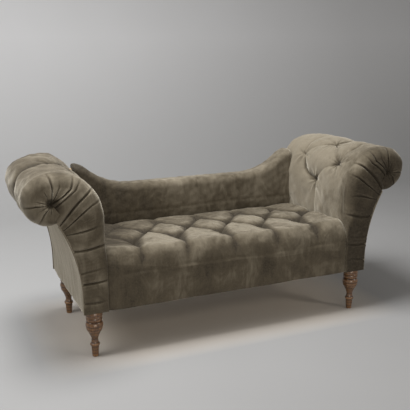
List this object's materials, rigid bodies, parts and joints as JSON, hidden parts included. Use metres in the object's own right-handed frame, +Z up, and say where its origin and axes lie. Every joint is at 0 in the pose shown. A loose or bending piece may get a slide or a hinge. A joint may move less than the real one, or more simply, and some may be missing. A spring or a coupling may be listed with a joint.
{
  "type": "chaise longue",
  "caption": "Chaise longue with two outward scroll arms, a low swept back, a deep-buttoned velvet seat and turned wooden legs.",
  "frame": {"origin": "on the floor below the middle of the overall box", "axes": "+X along the seat, +Y from the front to the back, +Z up; left in a node's name is -X"},
  "size_m": [1.802, 0.622, 0.7937],
  "materials": {
    "velvet": "grey-olive cotton velvet, brushed nap with lighter and darker patches",
    "polished_wood": "turned hardwood, stained brown and polished",
    "frame_timber": "sawn beech, unfinished",
    "steel": "plain bright steel",
    "hessian": "open jute weave",
    "stuffing": "felted wool and hair",
    "twine": "waxed linen twine",
    "cambric": "black woven dust cover"
  },
  "bodies": {
    "root": {"back_hessian": "hessian", "back_left_leg": "polished_wood", "back_right_leg": "polished_wood", "back_seat_rail": "frame_timber", "back_stiles": "frame_timber", "back_tacking_rails": "frame_timber", "back_top_rail": "frame_timber", "back_top_roll": "velvet", "corner_blocks": "frame_timber", "dust_cover": "cambric", "front_left_leg": "polished_wood", "front_right_leg": "polished_wood", "front_seat_rail": "frame_timber", "hanger_bolts": "steel", "inside_back": "velvet", "left_arm_back_scroll_board": "frame_timber", "left_arm_base_rail": "frame_timber", "left_arm_buttons": "velvet", "left_arm_front": "velvet", "left_arm_front_scroll_board": "frame_timber", "left_arm_hessian": "hessian", "left_arm_rear": "velvet", "left_arm_roll_rail": "frame_timber", "left_arm_tacking_rail": "frame_timber", "left_end_rail": "frame_timber", "left_inside_arm": "velvet", "left_outside_arm": "velvet", "leg_plates": "steel", "outside_back": "velvet", "right_arm_back_scroll_board": "frame_timber", "right_arm_base_rail": "frame_timber", "right_arm_buttons": "velvet", "right_arm_front": "velvet", "right_arm_front_scroll_board": "frame_timber", "right_arm_hessian": "hessian", "right_arm_rear": "velvet", "right_arm_roll_rail": "frame_timber", "right_arm_tacking_rail": "frame_timber", "right_end_rail": "frame_timber", "right_inside_arm": "velvet", "right_outside_arm": "velvet", "seat_buttons": "velvet", "seat_cover": "velvet", "seat_cross_rails": "frame_timber", "seat_front_border": "velvet", "seat_hessian": "hessian", "seat_springs": "steel", "seat_stuffing": "stuffing", "spring_clips": "steel", "tufting_twines": "twine"}
  },
  "joints": []
}
